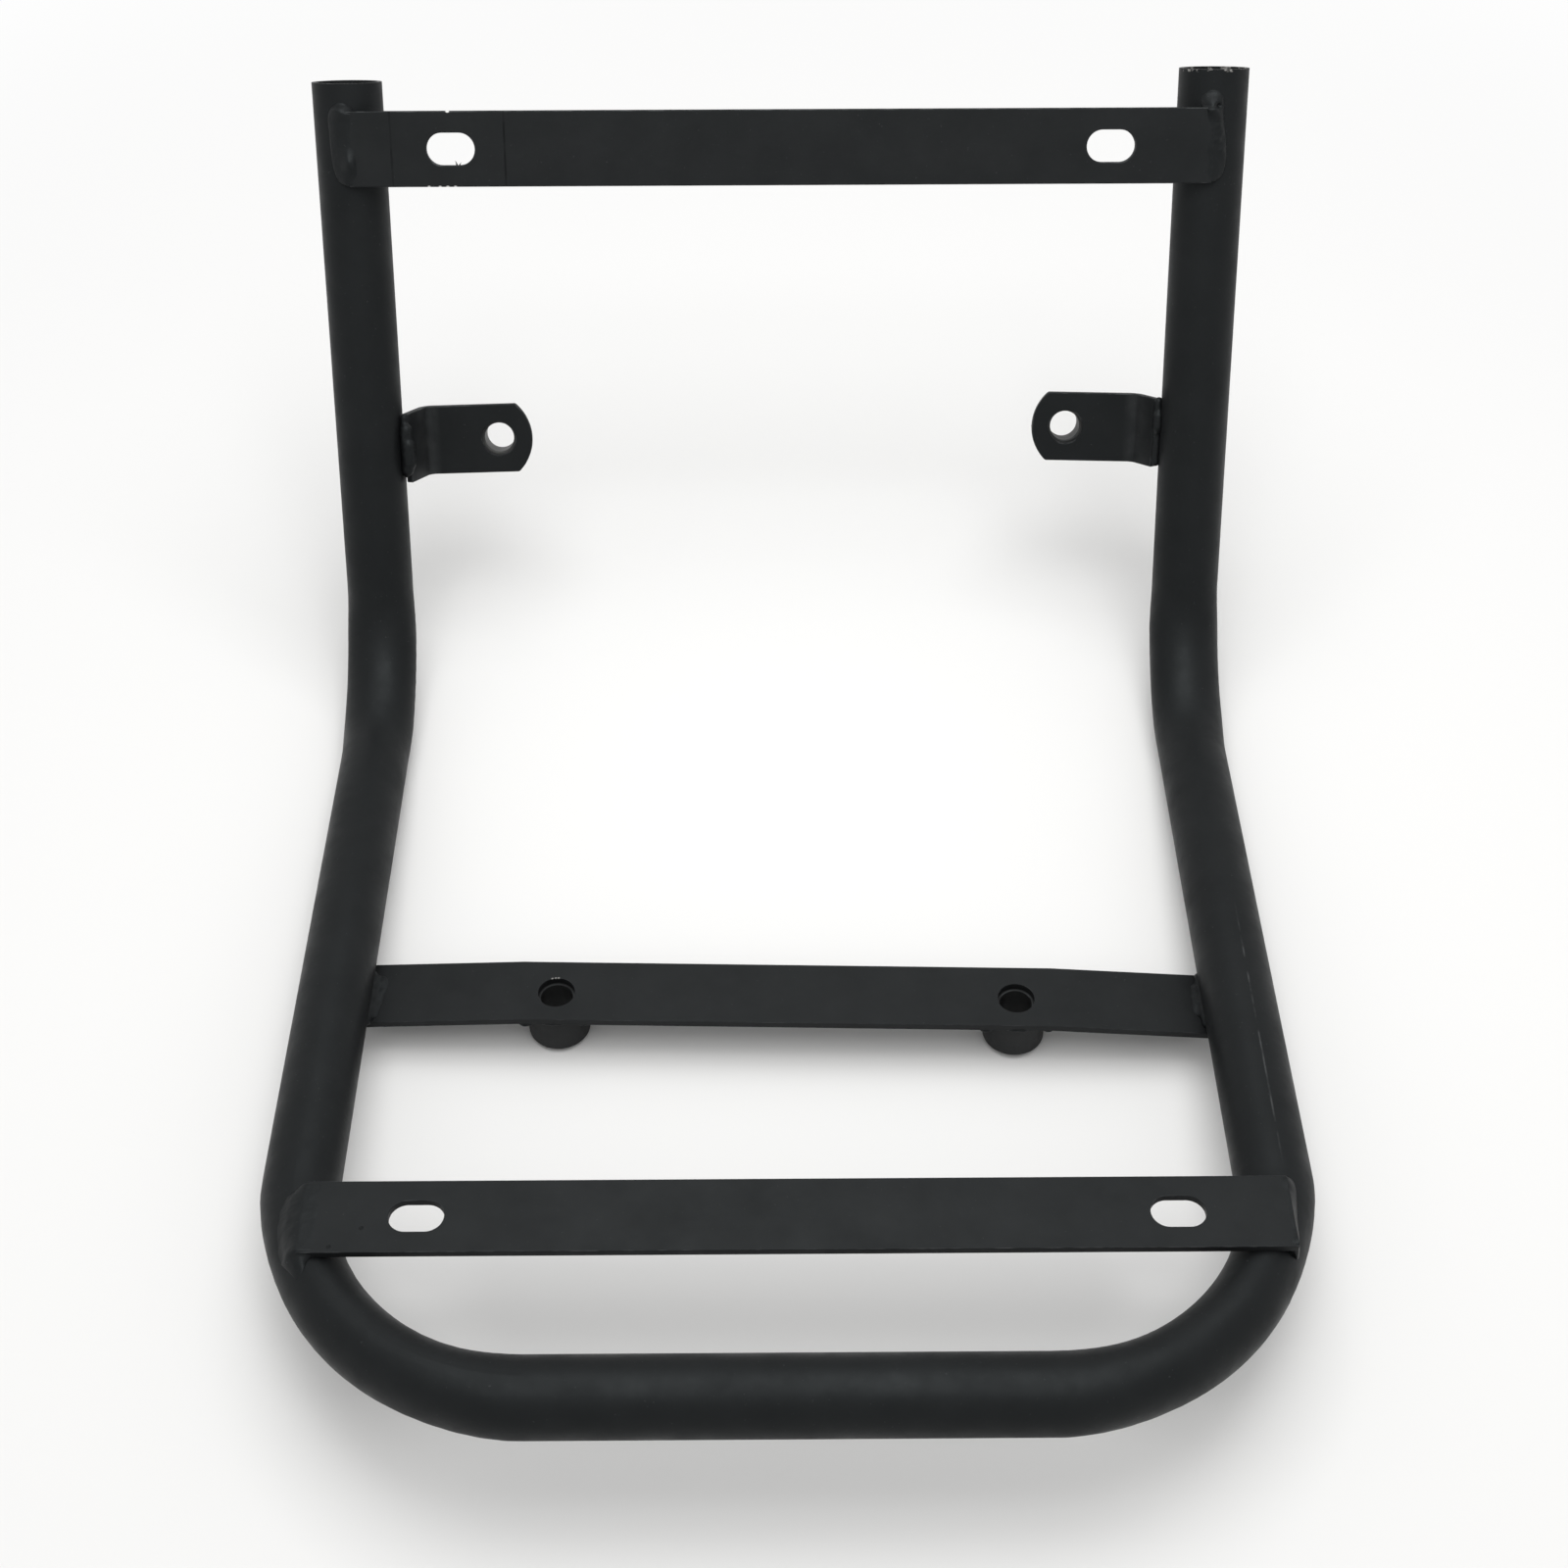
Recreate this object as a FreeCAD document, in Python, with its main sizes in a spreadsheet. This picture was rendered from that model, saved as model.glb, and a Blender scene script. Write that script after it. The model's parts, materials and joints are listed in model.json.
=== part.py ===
# Front basket bracket: one bent steel tube with welded flat bars, spacer bosses and bent tabs
import FreeCAD, Part
import math
import os

import Sketcher

Vector = FreeCAD.Vector
Rotation = FreeCAD.Rotation
Placement = FreeCAD.Placement
Constraint = Sketcher.Constraint

X_AXIS = Vector(1, 0, 0)
Y_AXIS = Vector(0, 1, 0)
Z_AXIS = Vector(0, 0, 1)

# Driving dimensions, in millimetres and degrees
SIZES = [
    ("tube_od", 19.1, "outside diameter of the tube"),
    ("tube_wall", 1.2, "wall of the tube"),
    ("leg_spacing", 238.0, "between the axes of the two legs"),
    ("front_bend_radius", 59.0, "centreline radius of the two front corners"),
    ("leg_run", 205.0, "from the front bar's axis to the start of the rear bends"),
    ("rear_bend_radius", 51.5, "centreline radius of the rear bends"),
    ("rear_bend_angle", 65.0, "turn of the rear bends, in degrees"),
    ("bend_flattening", 1.0, "how far a bend's section is pressed in, each way, in the plane of the bend"),
    ("bend_spread", 0.5, "how far a bend's section spreads, each way, across the plane of the bend"),
    ("upright_run", 143.0, "mean straight length of the uprights"),
    ("end_trim", 1.3, "how much shorter the left upright was cut, and longer the right"),
    ("bar_width", 20.0, "width of the flat bars and of the tabs' strip"),
    ("bar_thick", 2.0, "thickness of the flat bars and of the tabs' strip"),
    ("slot_long", 13.2, "length of the bolt slots"),
    ("slot_wide", 8.6, "width of the bolt slots"),
    ("slot_spacing", 180.0, "between the centres of a bar's two slots"),
    ("upper_bar_inset", 1.0, "from an upright's axis in to the end of the upper bar"),
    ("lower_bar_inset", 2.0, "from a leg's axis in to the end of the lower bar, before its shift"),
    ("upper_bar_drop", 18.4, "from the mean tube end down to the upper bar's middle"),
    ("lower_bar_setback", 41.0, "from the front bar's axis back to the lower bar's middle"),
    ("lower_bar_shift", 2.2, "how far right of the middle the lower bar was welded"),
    ("boss_setback", 122.0, "from the front bar's axis back to the bosses"),
    ("middle_bar_offset", 0.6, "how far behind the bosses the middle bar's middle lies"),
    ("middle_bar_skew", 1.4, "turn of the middle bar from square, in degrees"),
    ("middle_bar_rise", 2.3, "arch of the middle bar between its bosses"),
    ("middle_bar_flat", 142.0, "length of the raised flat of the middle bar"),
    ("weld_gap", 0.3, "root gap that a weld bridges"),
    ("boss_spacing", 122.5, "between the axes of the two bosses"),
    ("boss_od", 16.5, "outside diameter of the bosses and of the tabs' collars"),
    ("boss_bore", 8.5, "bore of the bosses and of the tabs' collars"),
    ("boss_length", 12.0, "length of the bosses below the bar"),
    ("boss_hole", 9.8, "hole in the strip over a boss or a collar"),
    ("collar_length", 7.0, "length of the collars behind the tabs"),
    ("tab_drop", 101.5, "from an upright's own end down to its tab's middle"),
    ("tab_setback", 8.5, "from the upright's axis back to the tab's front face"),
    ("tab_tilt", 1.4, "how far the tabs were welded with their round ends up, in degrees"),
    ("left_tab_lean", 3.8, "inward run of the left tab's slanted root"),
    ("left_tab_depth", 11.0, "forward run of the left tab's slanted root"),
    ("right_tab_lean", 4.6, "inward run of the right tab's slanted root"),
    ("right_tab_depth", 7.0, "forward run of the right tab's slanted root"),
    ("tab_bend_radius", 2.5, "inside radius of the tab's bend"),
    ("tab_hole_spacing", 166.0, "between the holes of the two tabs"),
    ("tab_end_margin", 9.8, "from a tab's hole to its rounded end"),
    ("tab_end_radius", 13.6, "radius of a tab's rounded end"),
    ("bar_weld_width", 8.0, "width of the weld beads at the slotted bars' ends"),
    ("bar_weld_height", 5.0, "height of the weld beads at the slotted bars' ends"),
    ("small_weld_length", 15.0, "length of the weld beads at the middle bar and the tabs"),
    ("small_weld_width", 6.0, "width of the weld beads at the middle bar and the tabs"),
    ("small_weld_height", 4.4, "height of the weld beads at the middle bar and the tabs"),
    ("ring_weld_leg", 1.6, "leg of the ring welds round the bosses and collars"),
]

doc = FreeCAD.newDocument("front_basket_bracket")
sheet = doc.addObject("Spreadsheet::Sheet", "sizes")
for row, (alias, value, note) in enumerate(SIZES, 1):
    sheet.set(f"A{row}", alias)
    sheet.set(f"B{row}", str(value))
    sheet.set(f"C{row}", note)
    sheet.setAlias(f"B{row}", alias)
doc.recompute()


def size(alias):
    """Read one driving dimension from the sheet."""
    return float(sheet.get(alias))


def cell(expression):
    """Turn an expression in plain alias words into one that reads the sheet."""
    words = sorted((alias for alias, _, _ in SIZES), key=len, reverse=True)
    parts = [expression]
    for word in words:
        split = []
        for part in parts:
            if part.startswith("<<sizes>>."):
                split.append(part)
                continue
            pieces = part.split(word)
            for index, piece in enumerate(pieces):
                if index:
                    split.append("<<sizes>>." + word)
                split.append(piece)
        parts = split
    return "".join(parts)


# Places worked out from the driving dimensions: z is 0 under the bosses' feet
tube_radius = size("tube_od") / 2
half_spacing = size("leg_spacing") / 2
axis_height = size("boss_length") + tube_radius - size("middle_bar_rise")
front_y = -size("boss_setback")
bend_start_y = front_y + size("leg_run")
lean = math.radians(size("rear_bend_angle"))
along_upright = Vector(0, math.cos(lean), math.sin(lean))
bend_end_y = bend_start_y + size("rear_bend_radius") * math.sin(lean)
bend_end_z = axis_height + size("rear_bend_radius") * (1 - math.cos(lean))
upright_turn = Rotation(X_AXIS, size("rear_bend_angle"))
SIDES = {"left": -1, "right": 1}


def on_upright(side, run):
    """A point on an upright's axis, a run above its rear bend (side 0 is the middle plane)."""
    foot = Vector(side * half_spacing, bend_end_y, bend_end_z)
    return foot + along_upright * run


def upright_length(side):
    """Straight length of one upright: the two ends were not cut level."""
    return size("upright_run") + side * size("end_trim")


# Sketch helpers

def origin_plane(body, role):
    """One of a body's own origin planes."""
    return next(plane for plane in body.Origin.OriginFeatures if plane.Role == role)


def new_sketch(body, name, role="XY_Plane"):
    """An empty sketch on one of the body's origin planes."""
    sketch = body.newObject("Sketcher::SketchObject", name)
    sketch.AttachmentSupport = [(origin_plane(body, role), "")]
    sketch.MapMode = "FlatFace"
    return sketch


def bind(sketch, constraint, expression):
    """Add a dimension to a sketch and tie it to the sheet."""
    index = sketch.addConstraint(constraint)
    sketch.setExpression(f"Constraints[{index}]", cell(expression))


def draw_polygon(sketch, points):
    """Closed chain of straight lines through the points."""
    corners = [Vector(x, y, 0) for x, y in points]
    first = sketch.GeometryCount
    count = len(corners)
    for index in range(count):
        sketch.addGeometry(Part.LineSegment(corners[index], corners[(index + 1) % count]))
    for index in range(count):
        sketch.addConstraint(Constraint("Coincident", first + index, 2, first + (index + 1) % count, 1))
    return first


def draw_rectangle(sketch, long_side, wide_side):
    """Rectangle centred on the sketch's origin."""
    draw_polygon(sketch, [(-10, -5), (10, -5), (10, 5), (-10, 5)])
    for line in (0, 2):
        sketch.addConstraint(Constraint("Horizontal", line))
    for line in (1, 3):
        sketch.addConstraint(Constraint("Vertical", line))
    sketch.addConstraint(Constraint("Symmetric", 0, 1, 2, 1, -1, 1))
    bind(sketch, Constraint("DistanceX", 0, 1, 0, 2, 20), long_side)
    bind(sketch, Constraint("DistanceY", 1, 1, 1, 2, 10), wide_side)


def draw_circle(sketch, diameter, centre_x="0"):
    """Circle whose centre lies on the sketch's horizontal axis."""
    index = sketch.addGeometry(Part.Circle(Vector(1, 0, 0), Z_AXIS, 1))
    sketch.addConstraint(Constraint("PointOnObject", index, 3, -1))
    bind(sketch, Constraint("DistanceX", -1, 1, index, 3, 1), centre_x)
    bind(sketch, Constraint("Diameter", index, 2), diameter)


def draw_slot(sketch, side):
    """Round-ended slot along the sketch's horizontal axis, on one side of the middle."""
    centre = side * size("slot_spacing") / 2
    reach = (size("slot_long") - size("slot_wide")) / 2
    radius = size("slot_wide") / 2
    quarter = math.pi / 2
    ends = []
    for turn, place in ((1, centre + reach), (-1, centre - reach)):
        circle = Part.Circle(Vector(place, 0, 0), Z_AXIS, radius)
        start = -quarter if turn > 0 else quarter
        ends.append(sketch.addGeometry(Part.ArcOfCircle(circle, start, start + math.pi)))
    outer, inner = ends
    top = sketch.addGeometry(
        Part.LineSegment(Vector(centre + reach, radius, 0), Vector(centre - reach, radius, 0)))
    low = sketch.addGeometry(
        Part.LineSegment(Vector(centre - reach, -radius, 0), Vector(centre + reach, -radius, 0)))
    chain = [(outer, top), (top, inner), (inner, low), (low, outer)]
    for before, after in chain:
        sketch.addConstraint(Constraint("Tangent", before, 2, after, 1))
    sketch.addConstraint(Constraint("PointOnObject", outer, 3, -1))
    sketch.addConstraint(Constraint("PointOnObject", inner, 3, -1))
    bind(sketch, Constraint("Radius", outer, radius), "slot_wide / 2")
    sign = "+" if side > 0 else "-"
    bind(sketch, Constraint("DistanceX", -1, 1, outer, 3, centre + reach),
         f"{sign} slot_spacing / 2 + (slot_long - slot_wide) / 2")
    bind(sketch, Constraint("DistanceX", -1, 1, inner, 3, centre - reach),
         f"{sign} slot_spacing / 2 - (slot_long - slot_wide) / 2")


# Feature helpers

def pad(body, sketch, length, symmetric=False):
    """Pad a sketch by a length from the sheet."""
    feature = body.newObject("PartDesign::Pad", sketch.Name + "_pad")
    feature.Profile = sketch
    feature.setExpression("Length", cell(length))
    if symmetric:
        feature.SideType = "Symmetric"
    doc.recompute()
    return feature


def cut_through(body, sketch):
    """Cut a sketch through the whole body, both ways, and check that it removed metal."""
    before = body.Shape.Volume
    feature = body.newObject("PartDesign::Pocket", sketch.Name + "_cut")
    feature.Profile = sketch
    feature.SideType = "Symmetric"
    feature.Type = "ThroughAll"
    doc.recompute()
    if not body.Shape.Volume < before:
        raise RuntimeError(f"{feature.Name} cut nothing")
    return feature


def new_body(label):
    """A body that becomes one sub-part."""
    body = doc.addObject("PartDesign::Body", label)
    body.Label = label
    return body


sub_parts = []


def keep(part, placement=None):
    """Place a finished sub-part and list it for export."""
    if placement is not None:
        part.Placement = placement
    sub_parts.append(part)
    return part


# Bent tube: straight runs and bends, whose section flattens as a real bent tube's does

BEND_STATIONS = 8
FLATTENING_RAMP = 0.3


def flattening(fraction):
    """Share of the full flattening at a fraction of a bend: it fades in and out over both ends."""
    step = min(1.0, min(fraction, 1 - fraction) / FLATTENING_RAMP)
    return step * step * (3 - 2 * step)


def straight(name, start, direction, length, radius):
    """Round rod of a length from a start point."""
    rod = doc.addObject("Part::Cylinder", name)
    rod.setExpression("Radius", cell(radius))
    rod.setExpression("Height", cell(length))
    rod.Placement = Placement(start, Rotation(Z_AXIS, direction))
    return rod


def bend(name, centre, first, normal, turn, path_radius, radius):
    """Rod lofted round a bend that starts at a first direction from its centre."""
    second = normal.cross(first)
    sections = []
    for station in range(BEND_STATIONS + 1):
        fraction = station / BEND_STATIONS
        share = flattening(fraction)
        angle = math.radians(turn * fraction)
        outward = first * math.cos(angle) + second * math.sin(angle)
        section = doc.addObject("Part::Ellipse", f"{name}_section{station}")
        section.setExpression("MajorRadius", cell(f"{radius} + bend_spread * {share}"))
        section.setExpression("MinorRadius", cell(f"{radius} - bend_flattening * {share}"))
        section.Placement = Placement(centre + outward * path_radius,
                                      Rotation(normal, outward, normal.cross(outward), "XYZ"))
        sections.append(section)
    rod = doc.addObject("Part::Loft", name)
    rod.Sections = sections
    rod.Solid = True
    return rod


def tube_rod(name, radius):
    """Solid rod of a radius along the whole bent tube."""
    front_radius = size("front_bend_radius")
    corner_x = half_spacing - front_radius
    corner_y = front_y + front_radius
    runs = [straight(name + "_front", Vector(-corner_x, front_y, axis_height), X_AXIS,
                     "leg_spacing - 2 * front_bend_radius", radius)]
    for word, side in SIDES.items():
        own = f"{name}_{word}"
        sign = "+" if side > 0 else "-"
        runs.append(bend(own + "_corner", Vector(side * corner_x, corner_y, axis_height), X_AXIS * side,
                         Z_AXIS * -side, 90, front_radius, radius))
        runs.append(straight(own + "_leg", Vector(side * half_spacing, corner_y, axis_height), Y_AXIS,
                             "leg_run - front_bend_radius", radius))
        bend_centre = Vector(side * half_spacing, bend_start_y, axis_height + size("rear_bend_radius"))
        runs.append(bend(own + "_bend", bend_centre, Z_AXIS * -1, X_AXIS, size("rear_bend_angle"),
                         size("rear_bend_radius"), radius))
        runs.append(straight(own + "_upright", on_upright(side, 0), along_upright,
                             f"upright_run {sign} end_trim", radius))
    rod = doc.addObject("Part::MultiFuse", name)
    rod.Shapes = runs
    return rod


tube_core = tube_rod("tube_core", "tube_od / 2")
tube_bore = tube_rod("tube_bore", "(tube_od / 2 - tube_wall)")
main_tube = doc.addObject("Part::Cut", "main_tube")
main_tube.Base = tube_core
main_tube.Tool = tube_bore
main_tube.Label = "main_tube"
doc.recompute()
keep(main_tube)


# Slotted crossbars

UPPER_LENGTH = "(leg_spacing - 2 * upper_bar_inset)"
LOWER_LENGTH = "(leg_spacing - 2 * lower_bar_inset)"


def slotted_bar(label, length):
    """Flat bar with a bolt slot near each end, its back face on the tube."""
    body = new_body(label)
    outline = new_sketch(body, label + "_outline")
    draw_rectangle(outline, length, "bar_width")
    pad(body, outline, "bar_thick")
    slots = new_sketch(body, label + "_slots")
    for side in SIDES.values():
        draw_slot(slots, side)
    cut_through(body, slots)
    return body


upper_run = size("upright_run") - size("upper_bar_drop")
front_normal = upright_turn.multVec(Z_AXIS)
upper_place = Placement(on_upright(0, upper_run) + front_normal * tube_radius, upright_turn)
# The lower bar lies across the front corners, where the tube is spread upwards
lower_place = Placement(
    Vector(size("lower_bar_shift"), front_y + size("lower_bar_setback"),
           axis_height + tube_radius + size("bend_spread")),
    Rotation())
upper_crossbar = keep(slotted_bar("upper_crossbar", UPPER_LENGTH), upper_place)
lower_crossbar = keep(slotted_bar("lower_crossbar", LOWER_LENGTH), lower_place)


# Middle crossbar with its bosses

pattern_turn = Placement(Vector(0, 0, 0), Rotation(Z_AXIS, -size("middle_bar_skew")))
middle_place = pattern_turn * Placement(Vector(0, size("middle_bar_offset"), 0), Rotation())
# The bar's square-cut ends stop where their top edge would meet the round of the leg
MIDDLE_HALF = "(leg_spacing / 2 - sqrt(tube_od * bar_thick - bar_thick * bar_thick) - weld_gap)"


def middle_bar():
    """Flat bar whose two ends dip to the undersides of the legs."""
    body = new_body("middle_crossbar")
    profile = new_sketch(body, "middle_profile", "XZ_Plane")
    foot = size("boss_length")
    dip = foot - size("middle_bar_rise")
    thick = size("bar_thick")
    flat = size("middle_bar_flat") / 2
    end = half_spacing - 2 * thick
    draw_polygon(profile, [(-end, dip), (-flat, foot), (flat, foot), (end, dip),
                           (end, dip + thick), (flat, foot + thick), (-flat, foot + thick),
                           (-end, dip + thick)])
    profile.addConstraint(Constraint("Vertical", 3))
    for left, right in (((0, 1), (3, 1)), ((1, 1), (2, 1)), ((6, 1), (5, 1)), ((7, 1), (4, 1))):
        profile.addConstraint(Constraint("Symmetric", *left, *right, -2))
    bind(profile, Constraint("DistanceX", -1, 1, 3, 1, end), MIDDLE_HALF)
    bind(profile, Constraint("DistanceX", 1, 1, 1, 2, 2 * flat), "middle_bar_flat")
    bind(profile, Constraint("DistanceX", 5, 2, 5, 1, 2 * flat), "middle_bar_flat")
    bind(profile, Constraint("DistanceY", -1, 1, 2, 1, foot), "boss_length")
    bind(profile, Constraint("DistanceY", 3, 1, 2, 1, foot - dip), "middle_bar_rise")
    bind(profile, Constraint("DistanceY", 2, 1, 5, 1, thick), "bar_thick")
    bind(profile, Constraint("DistanceY", 3, 1, 3, 2, thick), "bar_thick")
    pad(body, profile, "bar_width", symmetric=True)
    holes = new_sketch(body, "middle_holes")
    holes.setExpression("AttachmentOffset.Base.y", cell("-middle_bar_offset"))
    for sign in ("-", "+"):
        draw_circle(holes, "boss_hole", f"{sign} boss_spacing / 2")
    cut_through(body, holes)
    return body


def bored_cylinder(label, length):
    """Short round spacer with a bolt bore."""
    body = new_body(label)
    ring = new_sketch(body, label + "_ring")
    draw_circle(ring, "boss_od")
    draw_circle(ring, "boss_bore")
    pad(body, ring, length)
    return body


def ring_weld(label):
    """Fillet weld round a spacer, its flat leg on the strip at height 0 and its body below."""
    body = new_body(label)
    profile = new_sketch(body, label + "_profile", "XZ_Plane")
    radius = size("boss_od") / 2
    leg = size("ring_weld_leg")
    draw_polygon(profile, [(radius, 0), (radius, -leg), (radius + leg, 0)])
    profile.addConstraint(Constraint("Vertical", 0))
    profile.addConstraint(Constraint("Horizontal", 2))
    profile.addConstraint(Constraint("PointOnObject", 0, 1, -1))
    bind(profile, Constraint("DistanceX", -1, 1, 0, 1, radius), "boss_od / 2")
    bind(profile, Constraint("DistanceY", 0, 2, 0, 1, leg), "ring_weld_leg")
    bind(profile, Constraint("DistanceX", 2, 2, 2, 1, leg), "ring_weld_leg")
    turn = body.newObject("PartDesign::Revolution", label + "_turn")
    turn.Profile = profile
    turn.ReferenceAxis = (profile, ["V_Axis"])
    turn.Angle = 360
    doc.recompute()
    return body


middle_crossbar = keep(middle_bar(), middle_place)
for name, side in SIDES.items():
    foot = Placement(Vector(side * size("boss_spacing") / 2, 0, 0), Rotation())
    seat = Placement(Vector(0, 0, size("boss_length")), Rotation())
    keep(bored_cylinder(f"{name}_boss", "boss_length"), pattern_turn * foot)
    keep(ring_weld(f"{name}_boss_weld"), pattern_turn * foot * seat)


# Tabs with their collars

def bent_tab(label):
    """Strip whose root lies along the upright's inner side, x pointing inward from the upright's axis."""
    body = new_body(label)
    lean = label + "_lean"
    depth = label + "_depth"
    profile = new_sketch(body, label + "_profile", "XZ_Plane")
    back = -size("tab_setback")
    reach = back + size(depth)
    thick = size("bar_thick")
    root = tube_radius + thick
    bend = root + size(lean)
    end = half_spacing - size("tab_hole_spacing") / 2 + size("tab_end_margin")
    draw_polygon(profile, [(root, reach), (bend, back), (end, back), (end, back - thick),
                           (bend - thick, back - thick), (root - thick, reach)])
    for line in (1, 3):
        profile.addConstraint(Constraint("Horizontal", line))
    profile.addConstraint(Constraint("Vertical", 2))
    profile.addConstraint(Constraint("Parallel", 0, 4))
    profile.addConstraint(Constraint("Perpendicular", 0, 5))
    bind(profile, Constraint("DistanceX", -1, 1, 4, 2, root - thick), "tube_od / 2 + weld_gap")
    bind(profile, Constraint("Distance", 4, 2, 0, thick), "bar_thick")
    bind(profile, Constraint("DistanceX", 0, 1, 0, 2, bend - root), lean)
    bind(profile, Constraint("DistanceY", 0, 2, 0, 1, reach - back), depth)
    bind(profile, Constraint("DistanceY", 0, 2, -1, 1, -back), "tab_setback")
    bind(profile, Constraint("DistanceX", -1, 1, 1, 2, end),
         "leg_spacing / 2 - tab_hole_spacing / 2 + tab_end_margin")
    bind(profile, Constraint("DistanceY", 2, 2, 2, 1, thick), "bar_thick")
    doc.recompute()
    front_bend = profile.getPoint(0, 2)
    back_bend = profile.getPoint(4, 1)
    strip = pad(body, profile, "bar_width", symmetric=True)
    round_bend(body, strip, front_bend, "tab_bend_radius")
    round_bend(body, body.Tip, back_bend, "tab_bend_radius + bar_thick")
    ending = new_sketch(body, label + "_ending")
    draw_end_cut(ending, end)
    cut_through(body, ending)
    hole = new_sketch(body, label + "_hole")
    draw_circle(hole, "boss_hole", "leg_spacing / 2 - tab_hole_spacing / 2")
    cut_through(body, hole)
    return body


def round_bend(body, strip, corner, radius):
    """Round the long edge of a bend that lies nearest to a corner of the profile."""
    def miss(edge):
        centre = edge.CenterOfMass
        return math.hypot(centre.x - corner.x, centre.z - corner.y) + abs(centre.y)
    edges = strip.Shape.Edges
    nearest = min(range(len(edges)), key=lambda index: miss(edges[index]))
    feature = body.newObject("PartDesign::Fillet", f"{body.Label}_bend")
    feature.Base = (strip, [f"Edge{nearest + 1}"])
    feature.setExpression("Radius", cell(radius))
    doc.recompute()


def draw_end_cut(sketch, end):
    """Waste beyond a tab's rounded end: an arc closed by three lines outside the strip."""
    radius = size("tab_end_radius")
    half_width = size("bar_width") / 2
    reach = math.sqrt(radius ** 2 - half_width ** 2)
    centre = end - radius
    spread = math.asin(half_width / radius)
    arc = Part.ArcOfCircle(Part.Circle(Vector(centre, 0, 0), Z_AXIS, radius), -spread, spread)
    curve = sketch.addGeometry(arc)
    corners = [Vector(centre + reach, half_width, 0), Vector(end + radius, half_width, 0),
               Vector(end + radius, -half_width, 0), Vector(centre + reach, -half_width, 0)]
    lines = [sketch.addGeometry(Part.LineSegment(*pair)) for pair in zip(corners, corners[1:])]
    chain = [curve, *lines]
    for before, after in zip(chain, chain[1:] + chain[:1]):
        sketch.addConstraint(Constraint("Coincident", before, 2, after, 1))
    sketch.addConstraint(Constraint("Horizontal", lines[0]))
    sketch.addConstraint(Constraint("Vertical", lines[1]))
    sketch.addConstraint(Constraint("Horizontal", lines[2]))
    sketch.addConstraint(Constraint("PointOnObject", curve, 3, -1))
    bind(sketch, Constraint("Radius", curve, radius), "tab_end_radius")
    bind(sketch, Constraint("DistanceY", -1, 1, lines[1], 1, half_width), "bar_width / 2")
    bind(sketch, Constraint("DistanceY", lines[1], 2, -1, 1, half_width), "bar_width / 2")
    bind(sketch, Constraint("DistanceX", -1, 1, curve, 3, centre),
         "leg_spacing / 2 - tab_hole_spacing / 2 + tab_end_margin - tab_end_radius")
    bind(sketch, Constraint("DistanceX", -1, 1, lines[1], 1, end + radius),
         "leg_spacing / 2 - tab_hole_spacing / 2 + tab_end_margin + tab_end_radius")


tab_places = {}
tabs = {}
for name, side in SIDES.items():
    middle = on_upright(side, upright_length(side) - size("tab_drop"))
    facing = Rotation(Z_AXIS, size("tab_tilt") if side < 0 else 180 - size("tab_tilt"))
    tab_places[name] = Placement(middle, upright_turn * facing)
    tabs[name] = keep(bent_tab(f"{name}_tab"), tab_places[name])
    hole_x = half_spacing - size("tab_hole_spacing") / 2
    back_face = -size("tab_setback") - size("bar_thick")
    behind = Placement(Vector(hole_x, 0, back_face - size("collar_length")), Rotation())
    seat = Placement(Vector(hole_x, 0, back_face), Rotation())
    keep(bored_cylinder(f"{name}_tab_collar", "collar_length"), tab_places[name] * behind)
    keep(ring_weld(f"{name}_collar_weld"), tab_places[name] * seat)


# Weld beads at the bars' ends and the tabs' roots

def weld_bead(label, place, half_sizes, neighbours):
    """Lens-shaped bead, long along its own y, with the pieces that it joins cut out of it."""
    width, length, height = half_sizes
    bead = doc.addObject("Part::Ellipsoid", label + "_raw")
    bead.setExpression("Radius1", cell(height))
    bead.setExpression("Radius2", cell(width))
    bead.setExpression("Radius3", cell(length))
    bead.Placement = place
    result = bead
    for index, neighbour in enumerate(neighbours):
        cut = doc.addObject("Part::Cut", f"{label}_cut{index}")
        cut.Base = result
        cut.Tool = neighbour
        result = cut
    result.Label = label
    doc.recompute()
    return result


def weld_stop(label, place, length, top):
    """Block under a bar, so that a bead fills only the corner beyond the bar's end."""
    block = doc.addObject("Part::Box", label)
    block.setExpression("Length", cell(length))
    block.setExpression("Width", cell("bar_width"))
    block.setExpression("Height", cell("bar_thick + tube_od / 2"))
    doc.recompute()
    corner = Vector(-block.Length.Value / 2, -block.Width.Value / 2, top - block.Height.Value)
    block.Placement = place * Placement(corner, Rotation())
    return block


thick = size("bar_thick")
middle_top = size("boss_length") - size("middle_bar_rise") + thick
upper_stop = weld_stop("upper_stop", upper_place, UPPER_LENGTH, thick)
lower_stop = weld_stop("lower_stop", lower_place, LOWER_LENGTH, thick)
middle_stop = weld_stop("middle_stop", middle_place, "2 * " + MIDDLE_HALF, middle_top)

BAR_BEAD = ("bar_weld_width / 2", "bar_width / 2", "bar_weld_height / 2")
SMALL_BEAD = ("small_weld_width / 2", "small_weld_length / 2", "small_weld_height / 2")
gap = size("weld_gap")


def root_angle(side_name):
    """Where round the upright a tab's root ends and its bead starts, in radians from straight inward."""
    reach = size(f"{side_name}_tab_depth") - size("tab_setback")
    return math.atan2(reach, tube_radius) + size("small_weld_height") / size("tube_od")


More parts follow.
